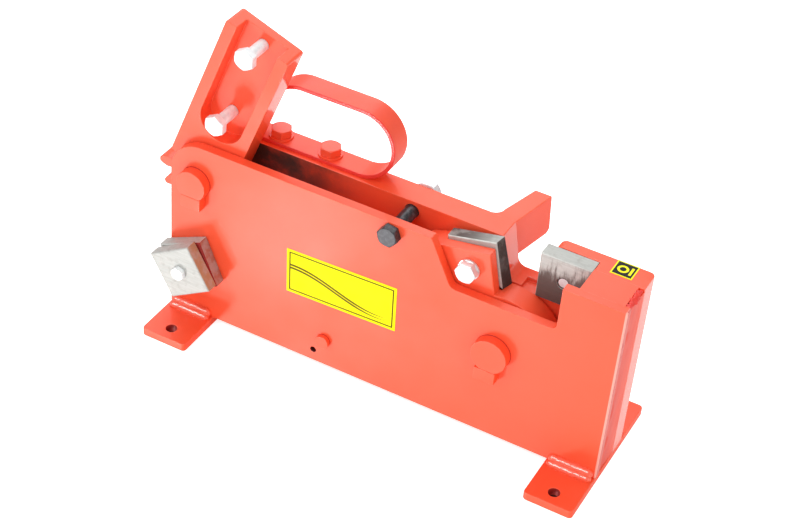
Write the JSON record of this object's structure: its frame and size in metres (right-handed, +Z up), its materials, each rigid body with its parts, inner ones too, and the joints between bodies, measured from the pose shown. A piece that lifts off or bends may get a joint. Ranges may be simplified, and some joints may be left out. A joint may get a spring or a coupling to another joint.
{
  "type": "manual rebar cutter",
  "caption": "Bench rebar cutter: a geared hand-lever socket swings a jaw arm between two steel side plates on feet, shearing bar between square blades.",
  "frame": {"origin": "centre of the four foot holes, on the floor", "axes": "+X from the lever end to the fixed blade end, +Y from the front plate to the rear plate, +Z up"},
  "size_m": [0.4905, 0.1764, 0.3481],
  "materials": {
    "red_paint": "coral red gloss paint",
    "blade_steel": "ground tool steel, stained",
    "zinc": "bright zinc plated",
    "bronze": "plain bronze",
    "black_steel": "black oxide",
    "label": "printed adhesive film"
  },
  "bodies": {
    "frame": {"front_plate": "red_paint", "rear_plate": "red_paint", "end_block": "red_paint", "end_welds": "red_paint", "left_foot": "red_paint", "right_foot": "red_paint", "left_foot_welds": "red_paint", "right_foot_welds": "red_paint", "bar_guide": "red_paint", "lever_pin": "red_paint", "lever_pin_keeper": "red_paint", "arm_pin": "red_paint", "arm_pin_keeper": "red_paint", "arm_thrust_washer": "bronze", "tie_bolt": "black_steel", "tie_bolt_washer": "zinc", "tie_bolt_nut": "zinc", "stop_pin": "red_paint", "fixed_blade": "blade_steel", "fixed_blade_bolt": "zinc", "fixed_blade_washer": "zinc", "spare_blade_outer": "blade_steel", "spare_blade_inner": "blade_steel", "spare_blade_bolt": "zinc", "carry_handle": "red_paint", "carry_handle_bolts": "red_paint", "carry_handle_washers": "red_paint", "plate_label": "label", "capacity_label": "label"},
    "lever": {"lever_socket": "red_paint", "lever_bush": "bronze", "handle_bolts": "zinc"},
    "jaw": {"jaw_arm": "red_paint", "arm_bush": "bronze", "moving_blade": "blade_steel", "moving_blade_bolt": "zinc", "moving_blade_washer": "zinc"}
  },
  "joints": [
    {"name": "jaw_turn", "type": "hinge", "parent": "frame", "child": "jaw", "pos_m": [0.11718, 0, 0.109], "axis": [0, 1, 0], "range_deg": [0, 23.41]},
    {"name": "lever_turn", "type": "hinge", "parent": "frame", "child": "lever", "pos_m": [-0.20648, 0, 0.168], "axis": [0, -1, 0], "range_deg": [0, 160]}
  ],
  "couplings": [
    {"joint": "lever_turn", "follows": "jaw_turn", "ratio": 6.8333}
  ]
}
